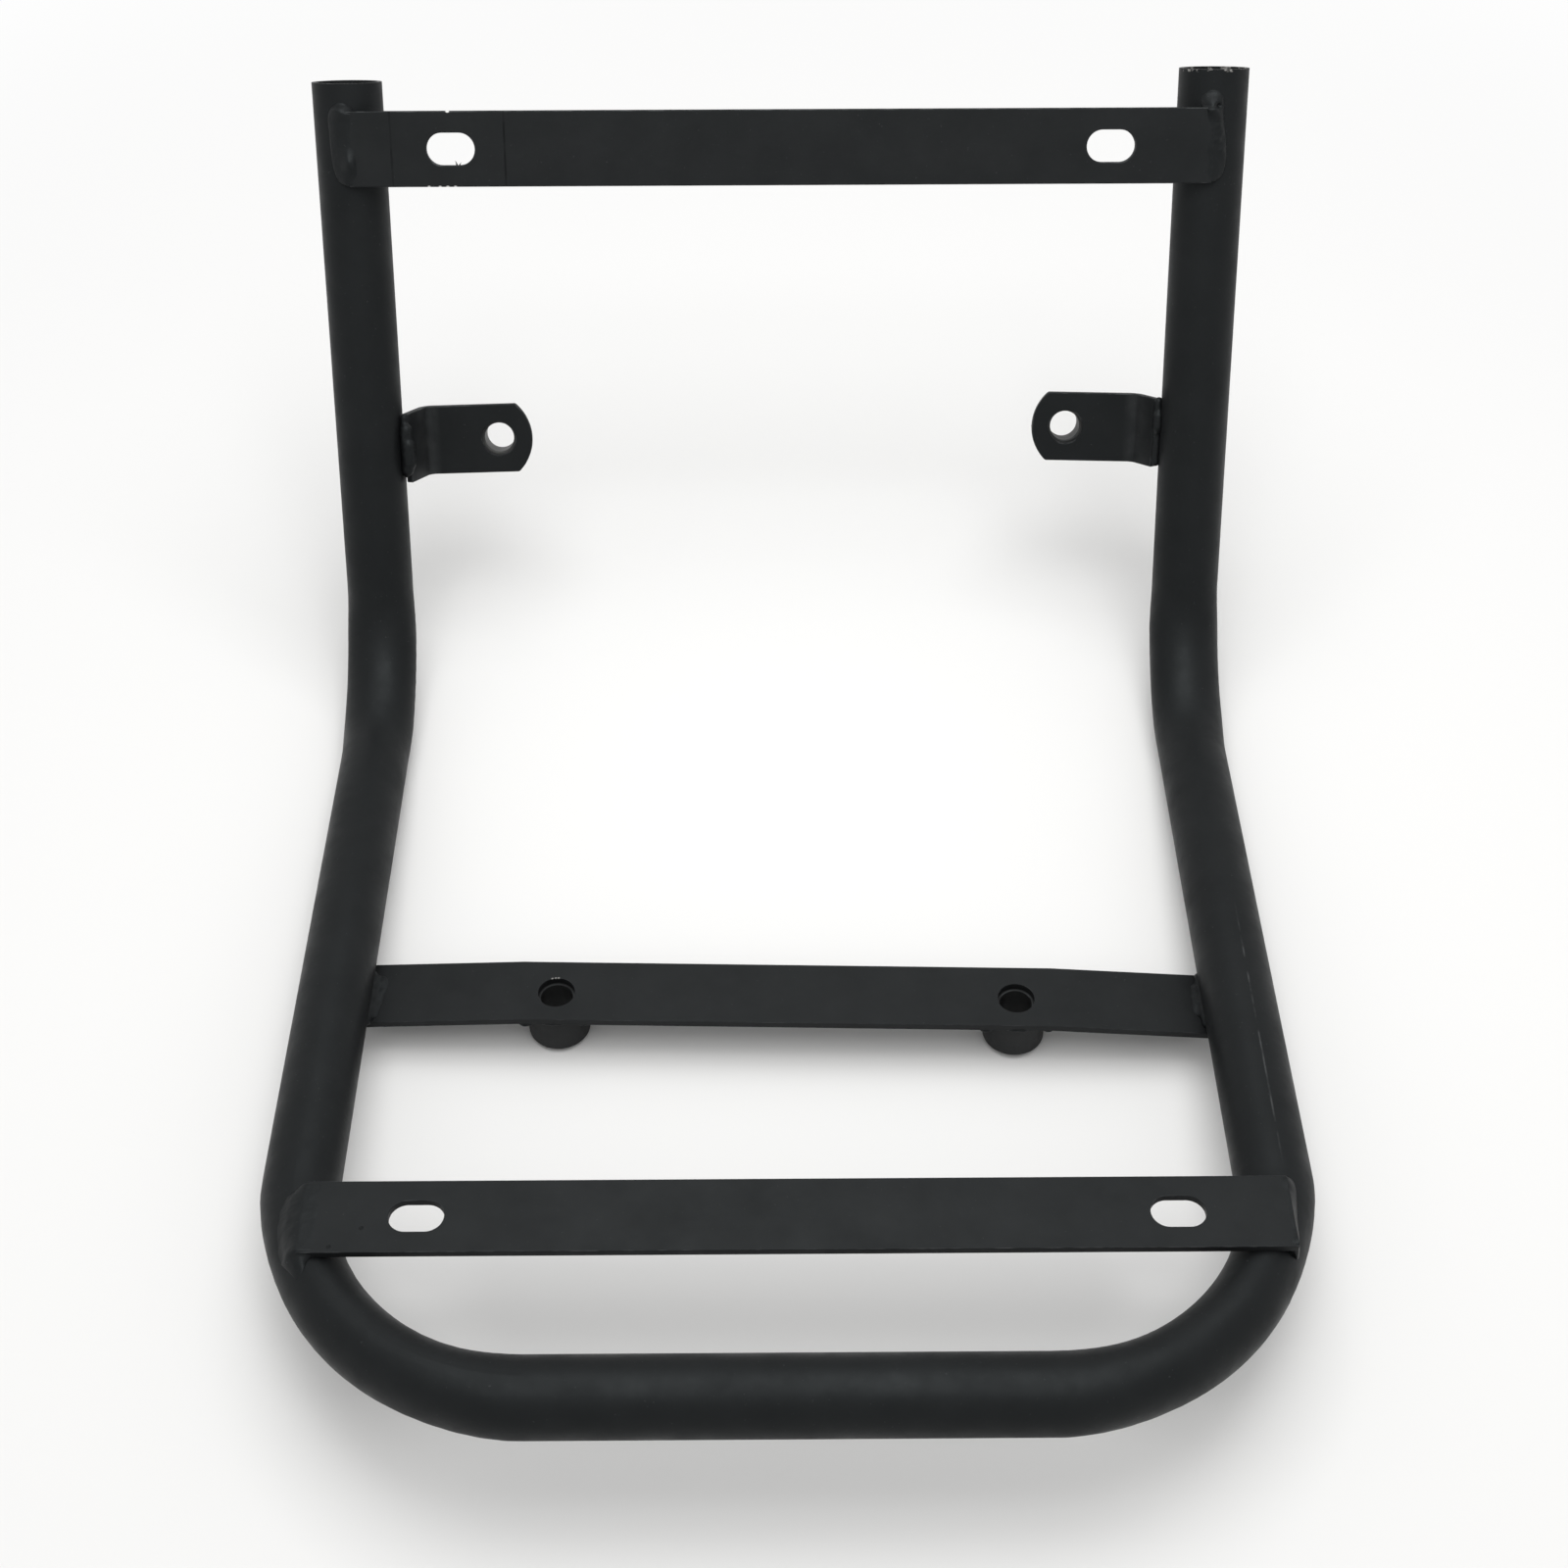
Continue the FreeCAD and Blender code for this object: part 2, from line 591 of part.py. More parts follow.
for name, side in SIDES.items():
    for bar, place, stop in ((upper_crossbar, upper_place, upper_stop),
                             (lower_crossbar, lower_place, lower_stop)):
        bar_half = stop.Length.Value / 2
        end = Placement(Vector(side * (bar_half + gap), 0, gap), Rotation())
        keep(weld_bead(f"{bar.Label}_weld_{name}", place * end, BAR_BEAD, [tube_core, bar, stop]))
    end = Placement(Vector(side * (half_spacing - tube_radius), 0, middle_top + gap), Rotation())
    keep(weld_bead(f"middle_crossbar_weld_{name}", middle_place * end, SMALL_BEAD,
                   [tube_core, middle_crossbar, middle_stop]))
    angle = root_angle(name)
    root = Vector(math.cos(angle), 0, math.sin(angle)) * (tube_radius + thick / 2)
    turn = Rotation(Y_AXIS, 90 - math.degrees(angle))
    keep(weld_bead(f"{name}_tab_weld", tab_places[name] * Placement(root, turn), SMALL_BEAD,
                   [tube_core, tabs[name]]))


# Check every object, then write one file for each sub-part
doc.recompute()
for item in doc.Objects:
    faults = [state for state in item.State if state in ("Invalid", "Error")]
    if faults:
        raise RuntimeError(f"{item.Label} is {faults}")
for part in sub_parts:
    if part.Shape.isNull() or not part.Shape.isValid():
        raise RuntimeError(f"{part.Label} has no valid shape")

os.makedirs("parts", exist_ok=True)
for part in sub_parts:
    part.Shape.exportStep(f"parts/{part.Label}.step")
    print(part.Label, len(part.Shape.Solids), round(part.Shape.Volume, 1))
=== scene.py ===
import bmesh
import bpy
import json
import math
from mathutils import Matrix, Vector, noise as hills
from mathutils.bvhtree import BVHTree


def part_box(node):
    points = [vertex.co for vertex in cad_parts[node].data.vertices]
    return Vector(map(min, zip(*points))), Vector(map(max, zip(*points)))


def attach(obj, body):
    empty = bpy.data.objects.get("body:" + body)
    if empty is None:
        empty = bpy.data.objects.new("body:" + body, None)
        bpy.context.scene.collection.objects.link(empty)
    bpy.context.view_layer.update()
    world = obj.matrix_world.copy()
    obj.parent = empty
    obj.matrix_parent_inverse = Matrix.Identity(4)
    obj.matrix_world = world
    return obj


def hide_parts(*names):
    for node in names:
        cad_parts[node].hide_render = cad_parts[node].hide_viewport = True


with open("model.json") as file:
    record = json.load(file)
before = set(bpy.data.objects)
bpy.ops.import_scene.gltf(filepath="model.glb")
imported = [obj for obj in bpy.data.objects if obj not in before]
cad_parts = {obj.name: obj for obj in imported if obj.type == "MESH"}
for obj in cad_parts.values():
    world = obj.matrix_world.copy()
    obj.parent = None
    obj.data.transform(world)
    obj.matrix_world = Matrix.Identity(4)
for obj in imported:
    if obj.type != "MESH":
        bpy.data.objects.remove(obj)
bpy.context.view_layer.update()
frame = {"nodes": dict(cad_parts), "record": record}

scene = bpy.context.scene
nodes = frame["nodes"]
slot_of = {item["node"]: item["material_slot"] for item in frame["record"]["subparts"]}

MM = 0.001
UPRIGHT_ANGLE = math.radians(65.0)
UPRIGHT_AXIS = Vector((0.0, math.cos(UPRIGHT_ANGLE), math.sin(UPRIGHT_ANGLE)))
UPRIGHT_FRONT = Vector((0.0, -math.sin(UPRIGHT_ANGLE), math.cos(UPRIGHT_ANGLE)))
X_AXIS = Vector((1.0, 0.0, 0.0))
Y_AXIS = Vector((0.0, 1.0, 0.0))
Z_AXIS = Vector((0.0, 0.0, 1.0))


# Shader helpers

def new_material(name):
    """An empty node material with a Principled shader on its output."""
    material = bpy.data.materials.new(name)
    material.use_nodes = True
    tree = material.node_tree
    tree.nodes.clear()
    output = tree.nodes.new("ShaderNodeOutputMaterial")
    shader = tree.nodes.new("ShaderNodeBsdfPrincipled")
    tree.links.new(shader.outputs["BSDF"], output.inputs["Surface"])
    return material, tree, shader


def noise(tree, place, scale, detail=2.0, roughness=0.5):
    """Noise in object space, where one unit is a metre."""
    node = tree.nodes.new("ShaderNodeTexNoise")
    node.inputs["Scale"].default_value = scale
    node.inputs["Detail"].default_value = detail
    node.inputs["Roughness"].default_value = roughness
    tree.links.new(place, node.inputs["Vector"])
    return node.outputs["Fac"]


def ramp(tree, factor, stops):
    """Map a factor to a blend between two stops, each (position, colour)."""
    node = tree.nodes.new("ShaderNodeValToRGB")
    for element, (position, colour) in zip(node.color_ramp.elements, stops):
        element.position = position
        element.color = (*colour, 1.0)
    tree.links.new(factor, node.inputs["Fac"])
    return node.outputs["Color"]


def span(tree, factor, low, high, start=0.0, end=1.0):
    """Stretch a factor that runs from start to end over the range low to high, clamped."""
    node = tree.nodes.new("ShaderNodeMapRange")
    node.inputs["From Min"].default_value = start
    node.inputs["From Max"].default_value = end
    node.inputs["To Min"].default_value = low
    node.inputs["To Max"].default_value = high
    tree.links.new(factor, node.inputs["Value"])
    return node.outputs["Result"]


def calculate(tree, operation, first, second):
    """One Math node; each term is a socket or a number."""
    node = tree.nodes.new("ShaderNodeMath")
    node.operation = operation
    for socket, value in zip(node.inputs, (first, second)):
        if isinstance(value, (int, float)):
            socket.default_value = value
        else:
            tree.links.new(value, socket)
    return node.outputs[0]


def along(tree, place, direction, origin):
    """Distance in metres from an origin along a direction."""
    node = tree.nodes.new("ShaderNodeVectorMath")
    node.operation = "DOT_PRODUCT"
    node.inputs[1].default_value = direction
    tree.links.new(place, node.inputs[0])
    return calculate(tree, "SUBTRACT", node.outputs["Value"], origin.dot(direction))


STRIPE_CORE = 0.5
SPOT_CORE = 0.6


def stripe(tree, value, centre, half):
    """1 where a distance lies within half of a centre, with a soft edge."""
    away = calculate(tree, "ABSOLUTE", calculate(tree, "SUBTRACT", value, centre), 0.0)
    return span(tree, away, 1.0, 0.0, STRIPE_CORE * half, half)


def spot(tree, place, centre, radius):
    """1 inside a small round spot, with a soft edge."""
    node = tree.nodes.new("ShaderNodeVectorMath")
    node.operation = "DISTANCE"
    node.inputs[1].default_value = centre
    tree.links.new(place, node.inputs[0])
    return span(tree, node.outputs["Value"], 1.0, 0.0, SPOT_CORE * radius, radius)


def either(tree, masks):
    """The largest of several masks."""
    result = masks[0]
    for mask in masks[1:]:
        result = calculate(tree, "MAXIMUM", result, mask)
    return result


def bump(tree, height, distance, strength=1.0, normal=None):
    """Bump from a height of 0 to 1 over a depth in metres."""
    node = tree.nodes.new("ShaderNodeBump")
    node.inputs["Distance"].default_value = distance
    node.inputs["Strength"].default_value = strength
    tree.links.new(height, node.inputs["Height"])
    if normal is not None:
        tree.links.new(normal, node.inputs["Normal"])
    return node.outputs["Normal"]


def mix(tree, factor, first, second):
    """Blend two colours by a factor."""
    node = tree.nodes.new("ShaderNodeMix")
    node.data_type = "RGBA"
    tree.links.new(factor, node.inputs["Factor"])
    for socket, value in (("A", first), ("B", second)):
        colour = next(item for item in node.inputs if item.name == socket and item.type == "RGBA")
        if isinstance(value, tuple):
            colour.default_value = (*value, 1.0)
        else:
            tree.links.new(value, colour)
    return next(item for item in node.outputs if item.type == "RGBA")


# Marks in the paint, each a list of (mask, colour, depth in metres) layers

CENTRE = Vector((0.0, 0.0, 0.0))
# Bare steel for real chips, also used for the painted glints on the middle bar's hole rim.
BARE_STEEL_AND_GLINT = (0.22, 0.215, 0.205)
BRIGHT_STEEL = (0.8, 0.79, 0.77)
# A light grey for real scuffs and dust, which also paints the lighter edges and the painted highlight over
# the tabs' bends.
GREY_SCUFF_AND_SHEEN = (0.05, 0.052, 0.053)
CUT_LINE = (0.0012, 0.0013, 0.0014)

SCUFF_START = Vector((120.4, 20.0, 28.7)) * MM
SCUFF_END = Vector((119.7, -66.6, 28.8)) * MM
SCUFF_HALF_WIDTH = 0.28 * MM
SCUFF_LOWEST = -2.0 * MM
SCUFF_FULL = -1.5 * MM
SCUFF_GRAIN = 180.0
RIM_DEPTH = 0.8 * MM
RIM_GRAIN = 520.0
RIM_CHIP_DEPTH = 0.05 * MM


def tube_marks(tree, place):
    """The long scuff on top of the right leg, and chips on the rim of the right open end."""
    run = SCUFF_END - SCUFF_START
    across = Vector((-run.y, run.x, 0.0)).normalized()
    line = stripe(tree, along(tree, place, across, SCUFF_START), 0.0, SCUFF_HALF_WIDTH)
    middle = (SCUFF_START + SCUFF_END) / 2
    length = stripe(tree, along(tree, place, run.normalized(), middle), 0.0, run.length / 2)
    upper = span(tree, along(tree, place, Z_AXIS, SCUFF_START), 0.0, 1.0, SCUFF_LOWEST, SCUFF_FULL)
    grain = noise(tree, place, SCUFF_GRAIN, detail=3.0)
    broken = span(tree, grain, low=0.0, high=0.85, start=0.42, end=0.62)
    scuff = calculate(tree, "MULTIPLY", calculate(tree, "MULTIPLY", line, length),
                      calculate(tree, "MULTIPLY", upper, broken))
    height = along(tree, place, UPRIGHT_AXIS, CENTRE)
    rim_level = max(vertex.co.dot(UPRIGHT_AXIS) for vertex in nodes["main_tube"].data.vertices)
    rim = span(tree, height, 0.0, 1.0, rim_level - RIM_DEPTH, rim_level - 0.5 * RIM_DEPTH)
    flakes = span(tree, noise(tree, place, RIM_GRAIN), low=0.0, high=1.0, start=0.56, end=0.62)
    right = span(tree, along(tree, place, X_AXIS, CENTRE), 0.0, 1.0, -MM, MM)
    chips = calculate(tree, "MULTIPLY", calculate(tree, "MULTIPLY", rim, flakes), right)
    return [(scuff, GREY_SCUFF_AND_SHEEN, 0.0), (chips, BARE_STEEL_AND_GLINT, RIM_CHIP_DEPTH)]


SCRIBED_AT = (-106.1 * MM, -75.2 * MM)
SCRIBE_HALF_WIDTH = 0.3 * MM
SCRIBE_DEPTH = 0.12 * MM
SCRIBE_GRAIN = 130.0
LOWER_EDGE_CHIPS = [Vector((x, 167.5, 157.5)) * MM for x in (-96.3, -93.3, -91.2, -89.1)]
UPPER_EDGE_CHIP = Vector((-90.3, 176.2, 176.0)) * MM
EDGE_CHIP_RADIUS = 0.7 * MM


def upper_bar_marks(tree, place):
    """Two scribed lines across the bar, and chips on its edges below and above the left slot."""
    across = along(tree, place, X_AXIS, CENTRE)
    lines = either(tree, [stripe(tree, across, x, SCRIBE_HALF_WIDTH) for x in SCRIBED_AT])
    faint = span(tree, noise(tree, place, SCRIBE_GRAIN), low=0.4, high=1.0, start=0.4, end=0.6)
    scribed = calculate(tree, "MULTIPLY", lines, faint)
    chip_centres = LOWER_EDGE_CHIPS + [UPPER_EDGE_CHIP]
    chips = either(tree, [spot(tree, place, centre, EDGE_CHIP_RADIUS) for centre in chip_centres])
    return [(scribed, CUT_LINE, SCRIBE_DEPTH), (chips, BRIGHT_STEEL, 0.0)]


PITS = [Vector((x, y, 31.3)) * MM for x, y in ((-100.3, -84.3), (-107.3, -89.4))]
PIT_RADIUS = 0.6 * MM
PIT_DEPTH = 0.15 * MM


def lower_bar_marks(tree, place):
    """Two small dark pits in the paint near the left end."""
    pits = either(tree, [spot(tree, place, centre, PIT_RADIUS) for centre in PITS])
    return [(pits, CUT_LINE, PIT_DEPTH)]


BAR_HOLE_RADIUS = 4.9 * MM
RIM_SEARCH = 1.1
WORN_GLINT_TURNS = (-0.28, -0.1, 0.06)
WORN_GLINT_RADIUS = 0.38 * MM


def middle_bar_marks(tree, place):
    """Bare-steel spots on the back edge of the left hole, worn spots that also stand in for painted glints,
    at turns in radians from straight back.
    """
    low, high = (Vector(corner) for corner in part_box("left_boss"))
    centre = (low + high) / 2
    rim = [vertex.co for vertex in nodes["middle_crossbar"].data.vertices
           if (vertex.co.xy - centre.xy).length < RIM_SEARCH * BAR_HOLE_RADIUS]
    centre.z = max(corner.z for corner in rim)
    ways = [X_AXIS * math.sin(turn) + Y_AXIS * math.cos(turn) for turn in WORN_GLINT_TURNS]
    # Painted glints: bare-steel coloured spots on the hole's back rim, partly wear and partly a painted
    # highlight.
    worn_and_sheen = [spot(tree, place, centre + way * BAR_HOLE_RADIUS, WORN_GLINT_RADIUS) for way in ways]
    return [(either(tree, worn_and_sheen), BARE_STEEL_AND_GLINT, 0.0)]


TAB_BEND = 103.2 * MM
# Half width and grain of the painted highlight over each tab's bend.
BEND_SHEEN_HALF_WIDTH = 3.4 * MM
BEND_SHEEN_GRAIN = 150.0


def tab_bend_sheen(tree, place):
    """A painted highlight: paint made a little lighter over each tab's bend, where the curved bend catches
    the light.
    """
    across = calculate(tree, "ABSOLUTE", along(tree, place, X_AXIS, CENTRE), 0.0)
    grain = noise(tree, place, BEND_SHEEN_GRAIN, detail=3.0)
    patchy = span(tree, grain, low=0.08, high=0.26, start=0.35, end=0.65)
    # Painted highlight: a lighter band of paint over the bend.
    painted_bend_sheen = calculate(tree, "MULTIPLY", stripe(tree, across, TAB_BEND, BEND_SHEEN_HALF_WIDTH), patchy)
    return [(painted_bend_sheen, GREY_SCUFF_AND_SHEEN, 0.0)]


def no_marks(tree, place):
    """Paint without marks."""
    return []


# Paint

MOTTLE_GRAIN = 70.0
WEAR_GRAIN = 260.0
DUST_GRAIN = 1500.0
HAZE_GRAIN = 90.0
FINE_PEEL_GRAIN = 1600.0
BROAD_PEEL_GRAIN = 330.0
FINE_PEEL_DEPTH = 0.03 * MM
BROAD_PEEL_DEPTH = 0.08 * MM
PEEL = 0.5
SATIN = 0.5
HAZE = 0.09
GLOSS_LEVEL = 0.148
COOL_TINT = (0.92, 1.0, 1.02, 1.0)


def black_paint(name, dark, light, marks=no_marks, rough=SATIN, peel=PEEL):
    """Satin black spray paint: faint mottling, orange peel, thin paint on edges that also serves as a
    painted edge highlight, and a little dust.
    """
    material, tree, shader = new_material(name)
    place = tree.nodes.new("ShaderNodeTexCoord").outputs["Object"]
    mottle = noise(tree, place, MOTTLE_GRAIN, detail=4.0, roughness=0.6)
    colour = ramp(tree, mottle, [(0.3, dark), (0.7, light)])
    # Thin paint on rounded edges, painted lighter; the lighter edges also stand in for edge highlights.
    edge = tree.nodes.new("ShaderNodeAttribute")
    edge.attribute_name = "edge"
    thin = span(tree, noise(tree, place, WEAR_GRAIN, detail=3.0), low=0.0, high=0.8, start=0.46, end=0.66)
    worn_and_sheen = calculate(tree, "MULTIPLY", edge.outputs["Fac"], thin)
    colour = mix(tree, worn_and_sheen, colour, GREY_SCUFF_AND_SHEEN)
    dust = span(tree, noise(tree, place, DUST_GRAIN, detail=1.0), low=0.0, high=0.35, start=0.74, end=0.8)
    colour = mix(tree, dust, colour, GREY_SCUFF_AND_SHEEN)
    layers = marks(tree, place)
    for mask, tone, _ in layers:
        colour = mix(tree, mask, colour, tone)
    tree.links.new(colour, shader.inputs["Base Color"])
    haze = noise(tree, place, HAZE_GRAIN, detail=4.0, roughness=0.6)
    uneven = span(tree, haze, low=rough - HAZE, high=rough + HAZE, start=0.3, end=0.7)
    tree.links.new(uneven, shader.inputs["Roughness"])
    fine = noise(tree, place, FINE_PEEL_GRAIN)
    broad = noise(tree, place, BROAD_PEEL_GRAIN, detail=1.0)
    normal = bump(tree, fine, FINE_PEEL_DEPTH, peel)
    normal = bump(tree, broad, BROAD_PEEL_DEPTH, peel, normal)
    for mask, _, depth in layers:
        if depth > 0.0:
            normal = bump(tree, calculate(tree, "SUBTRACT", 1.0, mask), depth, 1.0, normal)
    tree.links.new(normal, shader.inputs["Normal"])
    shader.inputs["Specular IOR Level"].default_value = GLOSS_LEVEL
    shader.inputs["Specular Tint"].default_value = COOL_TINT
    return material


PAINT_DARK = (0.0044, 0.0048, 0.0051)
PAINT_LIGHT = (0.0066, 0.0071, 0.0075)
BAR_DARK = (0.0064, 0.0068, 0.0071)
BAR_LIGHT = (0.0094, 0.0099, 0.0103)
# Painted light: lighter tones for the bosses, standing in for the soft light on their fronts.
BOSS_LIT_DARK = (0.011, 0.0112, 0.0114)
BOSS_LIT_LIGHT = (0.016, 0.0162, 0.0164)
WELD_LIGHT = (0.0072, 0.0079, 0.0083)
THIN_DARK = (0.02, 0.021, 0.021)
THIN_LIGHT = (0.07, 0.07, 0.068)
tube_paint = black_paint("satin_black_tube", PAINT_DARK, PAINT_LIGHT, tube_marks)
upper_paint = black_paint("satin_black_upper_bar", BAR_DARK, BAR_LIGHT, upper_bar_marks)
lower_paint = black_paint("satin_black_lower_bar", BAR_DARK, BAR_LIGHT, lower_bar_marks)
middle_paint = black_paint("satin_black_middle_bar", BAR_DARK, BAR_LIGHT, middle_bar_marks)
# The bosses get a lighter copy of the black paint, which paints in the soft light on their fronts.
boss_lit_paint = black_paint("black_boss_painted_lit", BOSS_LIT_DARK, BOSS_LIT_LIGHT)
# The tabs' paint carries a painted highlight over each bend.
tab_paint = black_paint("satin_black_tab", PAINT_DARK, PAINT_LIGHT, tab_bend_sheen)
plain_paint = black_paint("satin_black_paint", PAINT_DARK, PAINT_LIGHT)
weld_paint = black_paint("painted_weld_bead", PAINT_DARK, WELD_LIGHT, rough=0.46, peel=0.6)
thin_paint = black_paint("thin_paint_over_steel", THIN_DARK, THIN_LIGHT, rough=0.45, peel=0.8)
SLOT_PAINT = {"black_paint": plain_paint, "painted_weld": weld_paint, "thin_paint": thin_paint}
NODE_PAINT = {"main_tube": tube_paint, "upper_crossbar": upper_paint, "lower_crossbar": lower_paint,
              "middle_crossbar": middle_paint, "left_tab": tab_paint, "right_tab": tab_paint,
              "left_boss": boss_lit_paint, "right_boss": boss_lit_paint}


def paint_of(node):
    """A node's own paint, or else the paint of its slot."""
    return NODE_PAINT.get(node, SLOT_PAINT[slot_of[node]])


for name, part in nodes.items():
    for material_slot in part.material_slots:
        material_slot.material = paint_of(name)


# Pieces that stand for solids

def add_piece(name, mesh, node):
    """Put a finished mesh into the scene in place of a solid."""
    mesh.materials.clear()
    mesh.materials.append(paint_of(node))
    piece = bpy.data.objects.new(name, mesh)
    scene.collection.objects.link(piece)
    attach(piece, "root")
    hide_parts(node)
    return piece


EASED_EDGE = 0.35 * MM
EDGE_SEGMENTS = 3
SHARP_ANGLE = math.radians(38.0)
LEVEL_ANGLE = math.radians(0.05)
SAME_POINT = 0.001 * MM
FLAT_FACE_WEIGHT = 100


def eased_copy(node):
    """The solid with its sharp edges rounded over, as sheared strip and turned bosses are under paint."""
    work = bmesh.new()
    work.from_mesh(nodes[node].data)
    edge_mark = work.verts.layers.float.new("edge")
    bmesh.ops.remove_doubles(work, verts=work.verts, dist=SAME_POINT)
    bmesh.ops.dissolve_limit(work, angle_limit=LEVEL_ANGLE, verts=work.verts, edges=work.edges)
    sharp = [line for line in work.edges if line.is_manifold and line.calc_face_angle() > SHARP_ANGLE]
    made = bmesh.ops.bevel(work, geom=sharp, offset=EASED_EDGE, offset_type="OFFSET",
                           segments=EDGE_SEGMENTS, profile=0.5, affect="EDGES", clamp_overlap=True)
    rounded = set(made["faces"])
    # Marks the rounded edges, which the paint makes lighter as thin paint and as a painted edge highlight.
    for vertex in work.verts:
        if all(face in rounded for face in vertex.link_faces):
            vertex[edge_mark] = 1.0
    for face in work.faces:
        face.smooth = True
    mesh = bpy.data.meshes.new(node + "_eased")
    work.to_mesh(mesh)
    work.free()
    piece = add_piece(node + "_eased", mesh, node)
    flat = piece.modifiers.new("flat_faces", "WEIGHTED_NORMAL")
    flat.weight = FLAT_FACE_WEIGHT
    flat.keep_sharp = True


for name in ("upper_crossbar", "lower_crossbar", "middle_crossbar", "left_tab", "right_tab", "left_boss",
             "right_boss", "left_tab_collar", "right_tab_collar"):
    eased_copy(name)


# Weld beads along the ends of the upper and lower bars, with lengths in millimetres

tube_tree = BVHTree.FromPolygons([vertex.co for vertex in nodes["main_tube"].data.vertices],
                                 [tuple(face.vertices) for face in nodes["main_tube"].data.polygons])
BEAD_ROWS = 96
BEAD_COLUMNS = 36
BAR_HALF_WIDTH = 10.0
UNDER_BAR = 2.5
SUNK = 0.12
FILM = 0.06
TOE_RUN = 0.1
ROOT_DEPTH = 0.5
DOME = 1.4
DOME_FULLNESS = 0.7
RAY_START = 30.0
NO_TUBE = -10.0
SHORTEST_TIP = 0.5
TIP_BLEND_START = -0.7
TIP_BLEND_END = 0.5
EDGE_SHARE = 0.14


def ease(low, high, value):
    """Smooth step from 0 at low to 1 at high."""
    share = min(1.0, max(0.0, (value - low) / (high - low)))
    return share * share * (3.0 - 2.0 * share)


def between(stations, place):
    """Inner and outer edge of a bead at a place along it, on a smooth curve through given stations."""
    index = sum(station[0] <= place for station in stations[1:-1])
    here, after = stations[index], stations[index + 1]
    before = stations[max(0, index - 1)]
    later = stations[min(len(stations) - 1, index + 2)]
    gap = after[0] - here[0]
    share = (place - here[0]) / gap
    edges = []
    for edge in (1, 2):
        leave = (after[edge] - before[edge]) / (after[0] - before[0]) * gap
        arrive = (later[edge] - here[edge]) / (later[0] - here[0]) * gap
        rise = after[edge] - here[edge]
        cubic = (leave + arrive - 2.0 * rise) * share ** 3
        square = (3.0 * rise - 2.0 * leave - arrive) * share ** 2
        edges.append(cubic + square + leave * share + here[edge])
    return edges


def reach(node, direction):
    """How far a node's solid goes in a direction, in millimetres."""
    return max(vertex.co.dot(direction) for vertex in nodes[node].data.vertices) / MM


BROAD_RIPPLE = 0.14
FINE_RIPPLE = 0.05
BROAD_ALONG = 2.6
BROAD_ACROSS = 2.2
FINE_WAVE = 0.9
FINE_SEED_STEP = 7.0


def ripple(place, across, seed):
    """Uneven surface of a run bead, in millimetres."""
    broad = hills.noise(Vector((place / BROAD_ALONG, across / BROAD_ACROSS, seed)))
    fine = hills.noise(Vector((place / FINE_WAVE, across / FINE_WAVE, seed + FINE_SEED_STEP)))
    return BROAD_RIPPLE * broad + FINE_RIPPLE * fine


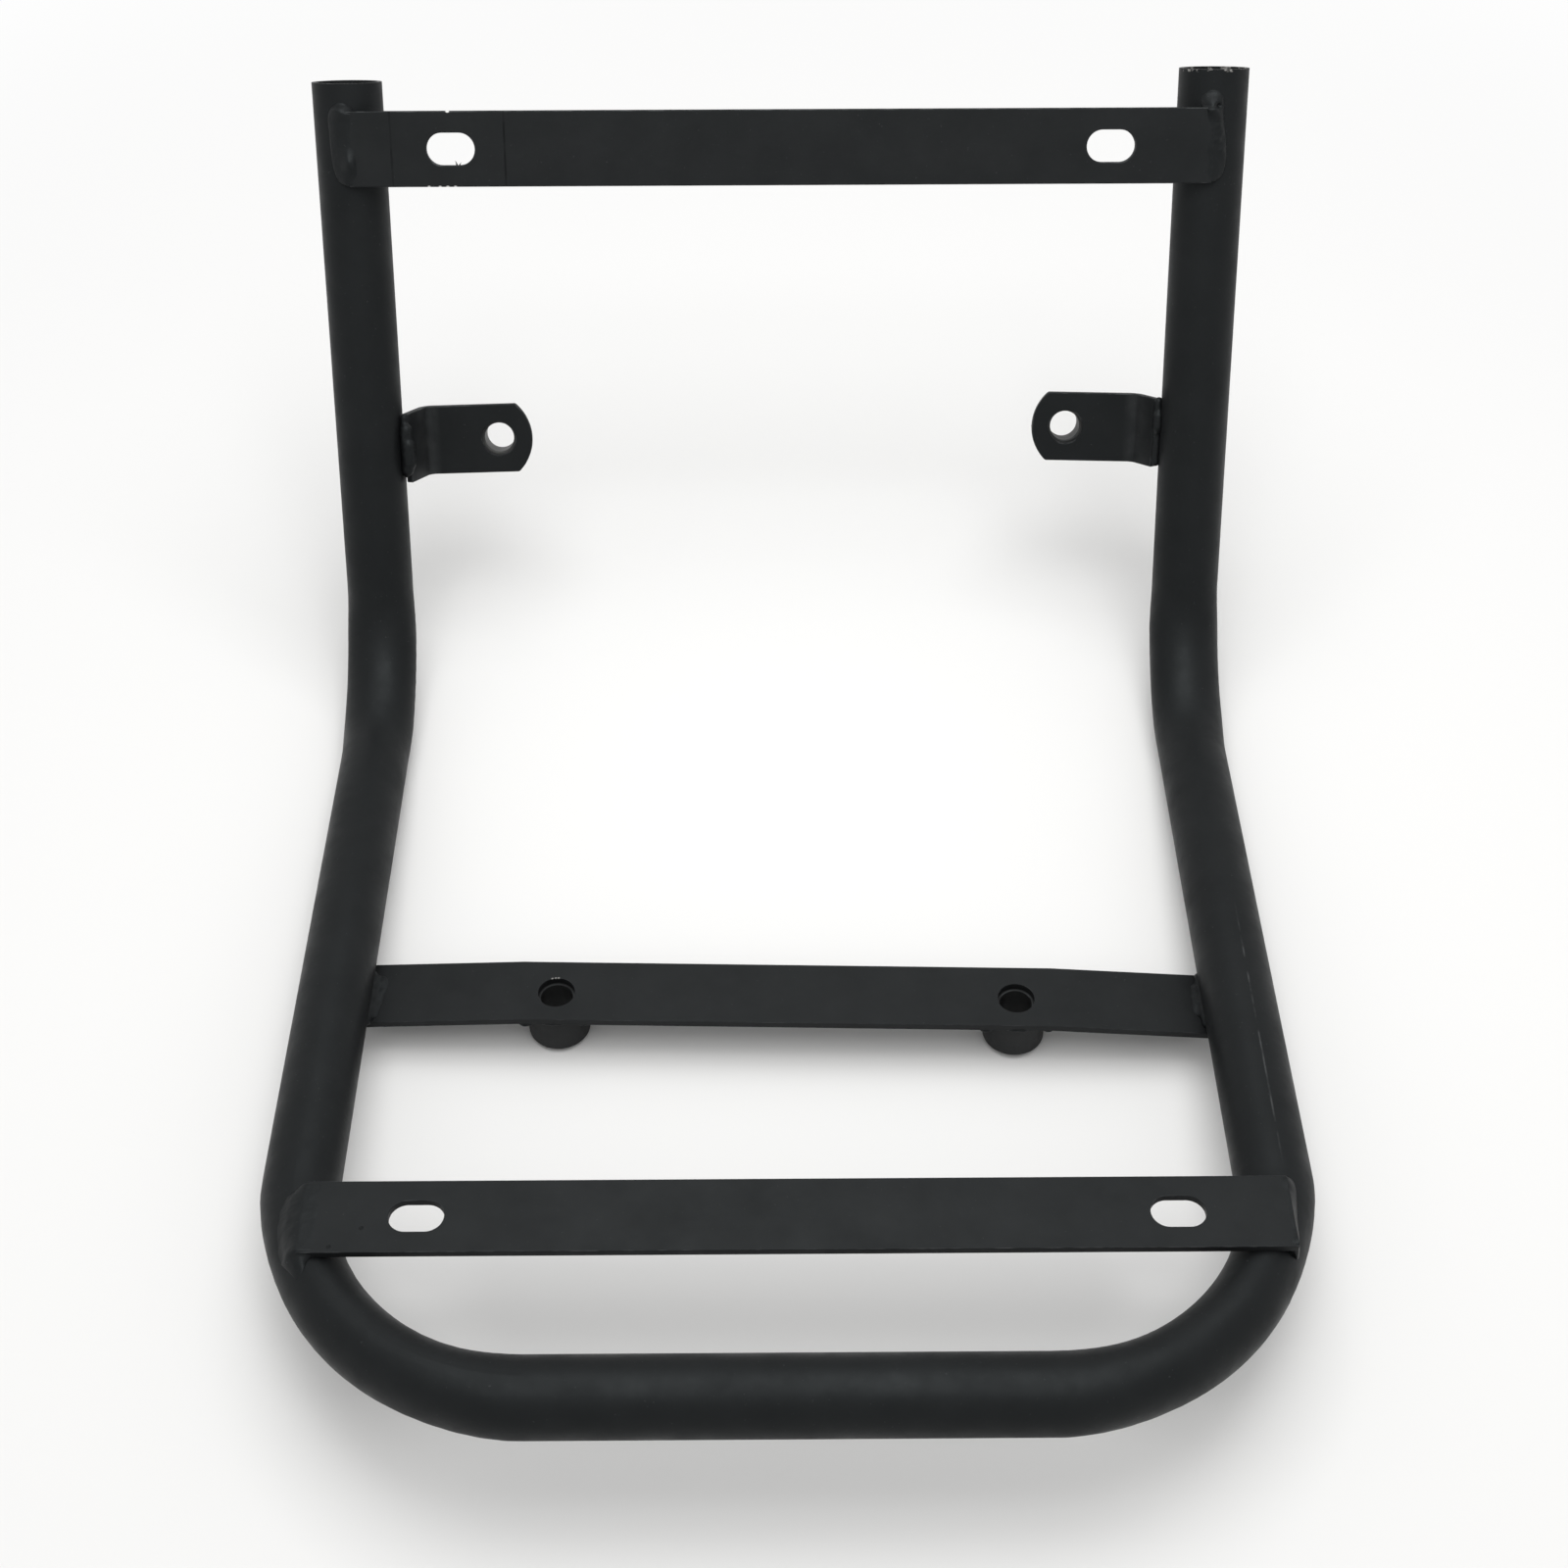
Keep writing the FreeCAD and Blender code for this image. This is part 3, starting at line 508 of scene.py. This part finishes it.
def seam_bead(node, bar, side, upward, lengthwise, stations, lumps, crown, toe_step, seed,
              film=FILM, toe_run=TOE_RUN, bow=1.0):
    """A bead in the corner between a bar's end and the tube.

    Stations are (place along the seam, inner edge, outer edge) and lumps (place, across, height, spread),
    all from the middle of the bar's end. The crown is how far the bead stands above a plain slope, the toe
    step its height at the outer edge, the film its thickness over the bar's end and the toe run the share
    of its width that runs out. A bow over 1 starts it level with the bar.
    """
    low, high = (Vector(corner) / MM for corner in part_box(bar))
    centre = (low + high) / 2
    outward = X_AXIS * side
    origin = Vector((high.x if side > 0 else low.x, centre.y, centre.z))
    bar_top = reach(bar, upward) - origin.dot(upward)

    def spot_at(place, across, height):
        return (origin + lengthwise * place + outward * across + upward * height) * MM

    def ground(place, across):
        start = spot_at(place, across, RAY_START)
        hit = tube_tree.ray_cast(start, -upward)[0]
        return (hit / MM - origin).dot(upward) if hit is not None else NO_TUBE

    first, last = stations[0][0], stations[-1][0]
    overlap = -min(station[1] for station in stations)

    def top(place, across, inner, outer):
        floor = ground(place, across)
        share = (across - inner) / (outer - inner)
        beyond = abs(place) - BAR_HALF_WIDTH
        tip = abs(first if place < 0 else last)
        fade = ease(0.0, 1.0, (tip - abs(place)) / max(SHORTEST_TIP, tip - BAR_HALF_WIDTH))
        dome = floor + DOME * fade * max(0.0, 1.0 - (2.0 * share - 1.0) ** 2) ** DOME_FULLNESS
        if across < 0.0:
            wedge = bar_top - SUNK + (film + SUNK) * ease(-overlap, 0.0, across)
        else:
            fraction = across / outer
            toe = ground(place, outer) + toe_step
            fall = fraction ** bow
            wedge = (bar_top + film) * (1.0 - fall) + toe * fall
            wedge += crown * 4.0 * fraction * (1.0 - fraction)
            wedge += (floor - SUNK - wedge) * ease(1.0 - toe_run, 1.0, fraction)
        level = dome + (wedge - dome) * (1.0 - ease(TIP_BLEND_START, TIP_BLEND_END, beyond))
        inside = ease(0.0, EDGE_SHARE, share) * ease(0.0, EDGE_SHARE, 1.0 - share) * fade
        for centre_place, centre_across, height, spread in lumps:
            away = (place - centre_place) ** 2 + (across - centre_across) ** 2
            level += height * inside * math.exp(-away / (2.0 * spread * spread))
        level += ripple(place, across, seed) * inside * ease(-overlap, 1.0, across)
        return max(level, floor - SUNK)

    work = bmesh.new()
    upper_rows, lower_rows = [], []
    for row in range(BEAD_ROWS + 1):
        place = first + (last - first) * row / BEAD_ROWS
        inner, outer = between(stations, place)
        upper_row, lower_row = [], []
        for column in range(BEAD_COLUMNS + 1):
            across = inner + (outer - inner) * column / BEAD_COLUMNS
            rim = row in (0, BEAD_ROWS) or column in (0, BEAD_COLUMNS)
            floor = ground(place, across)
            height = floor - SUNK if rim and across >= 0.0 else top(place, across, inner, outer)
            upper_row.append(work.verts.new(spot_at(place, across, height)))
            lower_row.append(work.verts.new(spot_at(place, across, floor - ROOT_DEPTH)))
        upper_rows.append(upper_row)
        lower_rows.append(lower_row)
    for row in range(BEAD_ROWS):
        for column in range(BEAD_COLUMNS):
            for grid in (upper_rows, lower_rows):
                work.faces.new((grid[row][column], grid[row + 1][column],
                                grid[row + 1][column + 1], grid[row][column + 1]))
    border = [(row, 0) for row in range(BEAD_ROWS)]
    border += [(BEAD_ROWS, column) for column in range(BEAD_COLUMNS)]
    border += [(row, BEAD_COLUMNS) for row in range(BEAD_ROWS, 0, -1)]
    border += [(0, column) for column in range(BEAD_COLUMNS, 0, -1)]
    for (row, column), (next_row, next_column) in zip(border, border[1:] + border[:1]):
        work.faces.new((upper_rows[row][column], upper_rows[next_row][next_column],
                        lower_rows[next_row][next_column], lower_rows[row][column]))
    bmesh.ops.recalc_face_normals(work, faces=work.faces)
    for face in work.faces:
        face.smooth = True
    mesh = bpy.data.meshes.new(node + "_bead")
    work.to_mesh(mesh)
    work.free()
    add_piece(node + "_bead", mesh, node)


IN = -UNDER_BAR
seam_bead("upper_crossbar_weld_left", "upper_crossbar", -1, UPRIGHT_FRONT, UPRIGHT_AXIS,
          [(-10.2, 0.0, 0.6), (-8.6, IN, 3.4), (-4.0, IN, 4.9), (4.0, IN, 5.4), (8.6, IN, 5.4),
           (10.8, -1.4, 4.2), (12.2, 1.0, 2.0)],
          [(10.4, 1.8, 0.5, 1.7), (-2.8, 0.1, 0.7, 1.4), (-4.6, -0.9, 0.7, 1.4), (5.5, 3.0, 0.25, 1.4)],
          crown=0.35, toe_step=0.32, seed=1.0)
seam_bead("upper_crossbar_weld_right", "upper_crossbar", 1, UPRIGHT_FRONT, UPRIGHT_AXIS,
          [(-10.0, 0.0, 0.6), (-8.4, IN, 2.9), (-4.0, IN, 4.1), (2.0, IN, 3.7), (6.0, IN, 2.9),
           (9.0, IN, 2.6), (10.8, -3.6, 2.6), (12.8, -3.4, 2.2), (14.4, -1.4, 0.6)],
          [(11.6, -0.7, 1.0, 1.9), (10.4, 0.8, -1.3, 0.55), (7.4, 1.3, 0.5, 0.8), (9.2, -0.9, 0.6, 1.0),
           (3.6, 2.2, 0.4, 0.7), (1.4, 1.3, 0.35, 0.6), (-1.2, 2.6, 0.35, 0.7), (5.4, 1.5, 0.4, 0.6)],
          crown=0.3, toe_step=0.38, seed=2.0)
seam_bead("lower_crossbar_weld_left", "lower_crossbar", -1, Z_AXIS, Y_AXIS,
          [(-15.0, -0.8, -0.2), (-13.0, -2.1, 1.4), (-10.8, -2.8, 3.4), (-7.5, -7.0, 6.0), (0.0, -7.0, 7.2),
           (6.0, -7.0, 6.2), (9.0, -7.0, 3.6), (10.6, 0.0, 0.6)],
          [(-2.0, 3.4, 0.2, 2.0), (-6.5, 2.2, 0.15, 1.4), (-10.5, 0.2, 0.25, 2.2)],
          crown=0.05, toe_step=0.0, seed=3.0, film=0.08, toe_run=0.5, bow=1.5)
seam_bead("lower_crossbar_weld_right", "lower_crossbar", 1, Z_AXIS, Y_AXIS,
          [(-10.0, -0.4, 0.2), (-9.2, IN, 0.8), (-7.0, IN, 1.3), (0.0, IN, 1.7), (5.0, IN, 2.3),
           (9.0, IN, 2.6), (10.6, -1.4, 1.8), (11.8, 0.0, 0.5)],
          [(-8.4, 0.3, 0.35, 0.9), (8.0, 0.6, 0.3, 1.2)],
          crown=0.25, toe_step=0.25, seed=4.0)


# Lumpy beads at the middle bar, the tabs, the bosses and the collars, with lengths in millimetres

VOXEL = 0.4
SWELL = 0.12
BROAD_SWELL = 0.22
FINE_SWELL = 0.07
SWELL_WAVE = 2.4
SMOOTHING = 0.5
SMOOTHING_PASSES = 5
LUMP_STEP = 0.7
LUMP_SUBDIVISIONS = 3


def run_of_lumps(start, end, radius):
    """Round lumps set close together from a start to an end."""
    steps = max(1, round((end - start).length / LUMP_STEP))
    return [(start.lerp(end, step / steps), radius, radius) for step in range(steps + 1)]


def lumpy_bead(node, lumps, seed, on_solid=False):
    """Lumps (centre, radius, height) run together, with an uneven surface; a ring keeps its solid."""
    work = bmesh.new()
    if on_solid:
        work.from_mesh(nodes[node].data)
    for centre, radius, height in lumps:
        shape = Matrix.Translation(centre * MM) @ Matrix.Diagonal((radius, radius, height, 1.0))
        bmesh.ops.create_icosphere(work, subdivisions=LUMP_SUBDIVISIONS, radius=MM, matrix=shape)
    rough = bpy.data.meshes.new(node + "_rough")
    work.to_mesh(rough)
    work.free()
    blank = bpy.data.objects.new(node + "_rough", rough)
    scene.collection.objects.link(blank)
    voxels = blank.modifiers.new("voxels", "REMESH")
    voxels.mode = "VOXEL"
    voxels.voxel_size = VOXEL * MM
    solid = blank.evaluated_get(bpy.context.evaluated_depsgraph_get())
    mesh = bpy.data.meshes.new_from_object(solid)
    mesh.name = node + "_bead"
    bpy.data.objects.remove(blank)
    work = bmesh.new()
    work.from_mesh(mesh)
    for _ in range(SMOOTHING_PASSES):
        bmesh.ops.smooth_vert(work, verts=work.verts, factor=SMOOTHING,
                              use_axis_x=True, use_axis_y=True, use_axis_z=True)
    work.normal_update()
    for vertex in work.verts:
        spot_in_mm = vertex.co / MM
        swell = SWELL + BROAD_SWELL * hills.noise(spot_in_mm / SWELL_WAVE + X_AXIS * seed)
        swell += FINE_SWELL * hills.noise(spot_in_mm / FINE_WAVE + Y_AXIS * seed)
        vertex.co += vertex.normal * swell * MM
    for face in work.faces:
        face.smooth = True
    work.to_mesh(mesh)
    work.free()
    add_piece(node + "_bead", mesh, node)


MIDDLE_BAR_TOP = 11.7
CORNER_RISE = 0.5
UNDER_LEG = 111.2
MOUND_HEIGHT = 0.62


def middle_bead(node, side, back, front, radius, mound_start, mound_end, seed):
    """A run in the corner under the leg's inner side, and a low mound on the bar that shows beside the leg.

    The mound's start and end are (distance from the bracket's middle, place along the leg, radius).
    """
    level = MIDDLE_BAR_TOP + CORNER_RISE
    run_start = Vector((side * UNDER_LEG, back, level))
    run_end = Vector((side * UNDER_LEG, front, level))
    lumps = run_of_lumps(run_start, run_end, radius)
    first, last = Vector(mound_start), Vector(mound_end)
    steps = round((last - first).length / LUMP_STEP)
    for step in range(steps + 1):
        outward, place, size = first.lerp(last, step / steps)
        lumps.append((Vector((side * outward, place, MIDDLE_BAR_TOP)), size, MOUND_HEIGHT))
    lumpy_bead(node, lumps, seed)


middle_bead("middle_crossbar_weld_left", -1, back=9.0, front=-6.0, radius=1.5,
            mound_start=(109.0, 7.0, 2.6), mound_end=(110.0, -4.0, 1.9), seed=11.0)
middle_bead("middle_crossbar_weld_right", 1, back=6.5, front=-9.0, radius=1.4,
            mound_start=(110.2, 3.2, 1.9), mound_end=(109.9, -4.4, 2.1), seed=12.0)

HALF_SPACING = 119.0
COLLAR_SETBACK = 14.0


def tab_bead(node, mount, side, runs, seed):
    """Runs at a tab's root: one that closes the gap to the upright, and thicker ones over it.

    Each is (inward from the upright's axis, forward, lower end, upper end, radius).
    """
    bore = next(item for item in frame["record"]["mounts"] if item["name"] == mount)
    origin = Vector(bore["pos_m"]) / MM + UPRIGHT_FRONT * COLLAR_SETBACK
    lumps = []
    for inward, forward, lower, upper, radius in runs:
        base = Vector((side * (HALF_SPACING - inward), origin.y, origin.z)) + UPRIGHT_FRONT * forward
        lumps += run_of_lumps(base + UPRIGHT_AXIS * lower, base + UPRIGHT_AXIS * upper, radius)
    lumpy_bead(node, lumps, seed)


tab_bead("left_tab_weld", "left_tab_bore", -1,
         [(10.3, 2.2, -8.0, 8.4, 1.05), (10.8, 2.9, -6.6, 5.0, 1.7), (11.3, 3.1, -4.6, 0.6, 2.0)],
         seed=13.0)
tab_bead("right_tab_weld", "right_tab_bore", 1,
         [(10.2, -1.7, -9.2, 8.6, 1.25), (10.3, -0.7, 1.0, 4.4, 1.5)],
         seed=14.0)

SPLASH_HEIGHT = 0.9
SPLASH_BACK = 0.3
LEFT_OVERHANG = 0.9
RIGHT_OVERHANG = 0.5


def boss_bead(node, left_size, right_size, seed):
    """The ring round a boss, with weld metal splashed flat under the bar at its front left and right."""
    low, high = (Vector(corner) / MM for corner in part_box(node))
    level = high.z - 0.5 * SPLASH_HEIGHT
    left = Vector((low.x + left_size - LEFT_OVERHANG, low.y + left_size + SPLASH_BACK, level))
    right = Vector((high.x - right_size + RIGHT_OVERHANG, low.y + right_size + SPLASH_BACK, level))
    splashes = [(left, left_size, SPLASH_HEIGHT), (right, right_size, SPLASH_HEIGHT)]
    lumpy_bead(node, splashes, seed, on_solid=True)


boss_bead("left_boss_weld", left_size=3.2, right_size=2.6, seed=14.0)
boss_bead("right_boss_weld", left_size=2.2, right_size=2.4, seed=16.0)
for name in ("left_collar_weld", "right_collar_weld"):
    lumpy_bead(name, [], seed=18.0, on_solid=True)


# Burr left in the upper bar's left slot, with lengths in millimetres

BURR_ROOT = Vector((-88.5, -4.5))
BURR_TIPS = ((-88.9, -3.1), (-87.2, -3.5))
BURR_WIDTH = 0.5
BURR_SPACING = 0.7
BURR_TAPER = 0.85
BURR_LEAN = 0.3
BURR_STEPS = 6
BURR_CORNERS = ((-1, -1), (1, -1), (1, 1), (-1, 1))


def slot_burr():
    """Two small curled slivers standing up from the slot's lower edge."""
    low, high = (Vector(corner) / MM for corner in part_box("upper_crossbar"))
    centre = (low + high) / 2
    work = bmesh.new()
    for number, (tip_across, tip_up) in enumerate(BURR_TIPS):
        root_across = BURR_ROOT.x + BURR_SPACING * number
        rings = []
        for step in range(BURR_STEPS + 1):
            share = step / BURR_STEPS
            across = root_across + (tip_across - root_across) * share ** 2
            up = BURR_ROOT.y + (tip_up - BURR_ROOT.y) * share
            half = BURR_WIDTH * (1.0 - BURR_TAPER * share) / 2
            lean = UPRIGHT_FRONT * (BURR_LEAN * share)
            middle = X_AXIS * (across - centre.x) + UPRIGHT_AXIS * up + lean + centre
            rings.append([work.verts.new((middle + X_AXIS * dx * half + UPRIGHT_FRONT * dn * half) * MM)
                          for dx, dn in BURR_CORNERS])
        for first, second in zip(rings, rings[1:]):
            for corner in range(len(BURR_CORNERS)):
                following = (corner + 1) % len(BURR_CORNERS)
                work.faces.new((first[corner], first[following], second[following], second[corner]))
        work.faces.new(rings[0][::-1])
        work.faces.new(rings[-1])
    bmesh.ops.recalc_face_normals(work, faces=work.faces)
    for face in work.faces:
        face.smooth = True
    mesh = bpy.data.meshes.new("slot_burr")
    work.to_mesh(mesh)
    work.free()
    mesh.materials.append(plain_paint)
    burr = bpy.data.objects.new("slot_burr", mesh)
    scene.collection.objects.link(burr)
    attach(burr, "root")


slot_burr()


# Floor: the bracket rests on its bosses and rear bends, so the floor leans with respect to the frame

FLOOR_TILT = math.radians(7.04)
FLOOR_POINT = Vector((0.0, 0.00825, 0.0))
FLOOR_REACH = 6.0
FADE_START = 0.22
FADE_END = 0.6
FLOOR_COLOUR = (0.77, 0.768, 0.76, 1.0)
FLOOR_ROUGHNESS = 0.9
FLOOR_GLOSS = 0.1


def seen_by_eye(tree):
    """1 for camera, glossy and transmission rays."""
    path = tree.nodes.new("ShaderNodeLightPath")
    rays = ("Is Camera Ray", "Is Glossy Ray", "Is Transmission Ray")
    return either(tree, [path.outputs[ray] for ray in rays])


def make_floor():
    """A pale floor that keeps the shadow near the bracket and runs out to white."""
    mesh = bpy.data.meshes.new("floor")
    corners = [(-1, -1), (1, -1), (1, 1), (-1, 1)]
    mesh.from_pydata([(x * FLOOR_REACH, y * FLOOR_REACH, 0.0) for x, y in corners], [], [(0, 1, 2, 3)])
    floor = bpy.data.objects.new("floor", mesh)
    scene.collection.objects.link(floor)
    floor.matrix_world = Matrix.Translation(FLOOR_POINT) @ Matrix.Rotation(FLOOR_TILT, 4, "X")
    material, tree, shader = new_material("pale_floor")
    shader.inputs["Base Color"].default_value = FLOOR_COLOUR
    shader.inputs["Roughness"].default_value = FLOOR_ROUGHNESS
    shader.inputs["Specular IOR Level"].default_value = FLOOR_GLOSS
    place = tree.nodes.new("ShaderNodeTexCoord").outputs["Object"]
    distance = tree.nodes.new("ShaderNodeVectorMath")
    distance.operation = "LENGTH"
    tree.links.new(place, distance.inputs[0])
    far = span(tree, distance.outputs["Value"], 0.0, 1.0, FADE_START, FADE_END)
    white = tree.nodes.new("ShaderNodeEmission")
    blend = tree.nodes.new("ShaderNodeMixShader")
    tree.links.new(calculate(tree, "MULTIPLY", far, seen_by_eye(tree)), blend.inputs["Fac"])
    tree.links.new(shader.outputs["BSDF"], blend.inputs[1])
    tree.links.new(white.outputs["Emission"], blend.inputs[2])
    output = next(node for node in tree.nodes if node.type == "OUTPUT_MATERIAL")
    tree.links.new(blend.outputs["Shader"], output.inputs["Surface"])
    mesh.materials.append(material)


make_floor()


# Lights

def area_light(name, spot_xyz, target, width, depth, watts):
    """Soft light at a spot, facing a target."""
    data = bpy.data.lights.new(name, "AREA")
    data.shape = "RECTANGLE"
    data.size = width
    data.size_y = depth
    data.energy = watts
    lamp = bpy.data.objects.new(name, data)
    scene.collection.objects.link(lamp)
    aim = Vector(target) - Vector(spot_xyz)
    facing = aim.to_track_quat("-Z", "Y").to_matrix().to_4x4()
    lamp.matrix_world = Matrix.Translation(Vector(spot_xyz)) @ facing


area_light("top_softbox", spot_xyz=(0.02, 0.08, 0.76), target=(0.0, 0.05, 0.0),
           width=0.55, depth=0.5, watts=3.05)
area_light("front_softbox", spot_xyz=(0.03, -0.45, 1.25), target=(0.0, 0.1, 0.05),
           width=0.8, depth=0.7, watts=5.0)

WORLD_FILL = 0.65


def make_world():
    """Even fill light, and a white surround for what the eye sees directly or mirrored."""
    world = bpy.data.worlds.new("studio")
    scene.world = world
    world.use_nodes = True
    tree = world.node_tree
    background = tree.nodes["Background"]
    background.inputs["Color"].default_value = (1.0, 1.0, 1.0, 1.0)
    strength = span(tree, seen_by_eye(tree), WORLD_FILL, 1.0)
    tree.links.new(strength, background.inputs["Strength"])


make_world()


# Camera at the photograph's viewpoint

PHOTO_WIDTH = 1600.0
FOCAL_PIXELS = 2327.0
SENSOR_WIDTH = 36.0
NEAREST = 0.01
CAMERA_SPOT = (-0.0021, -0.3896, 0.48365)
CAMERA_ROLL = math.radians(-0.33)
CAMERA_YAW = math.radians(-0.18)
CAMERA_PITCH = math.radians(-224.97)


def make_camera():
    """A camera at the photograph's viewpoint; the rows of its turn are its right, down and forward axes."""
    data = bpy.data.cameras.new("photo_camera")
    data.sensor_fit = "HORIZONTAL"
    data.sensor_width = SENSOR_WIDTH
    data.lens = SENSOR_WIDTH * FOCAL_PIXELS / PHOTO_WIDTH
    data.clip_start = NEAREST
    camera = bpy.data.objects.new("photo_camera", data)
    scene.collection.objects.link(camera)
    turn = (Matrix.Rotation(CAMERA_ROLL, 3, "Z") @ Matrix.Rotation(CAMERA_YAW, 3, "Y")
            @ Matrix.Rotation(CAMERA_PITCH, 3, "X"))
    right, down, forward = turn
    facing = Matrix((right, -down, -forward)).transposed().to_4x4()
    camera.matrix_world = Matrix.Translation(CAMERA_SPOT) @ facing
    scene.camera = camera


make_camera()
scene.view_settings.view_transform = "Standard"
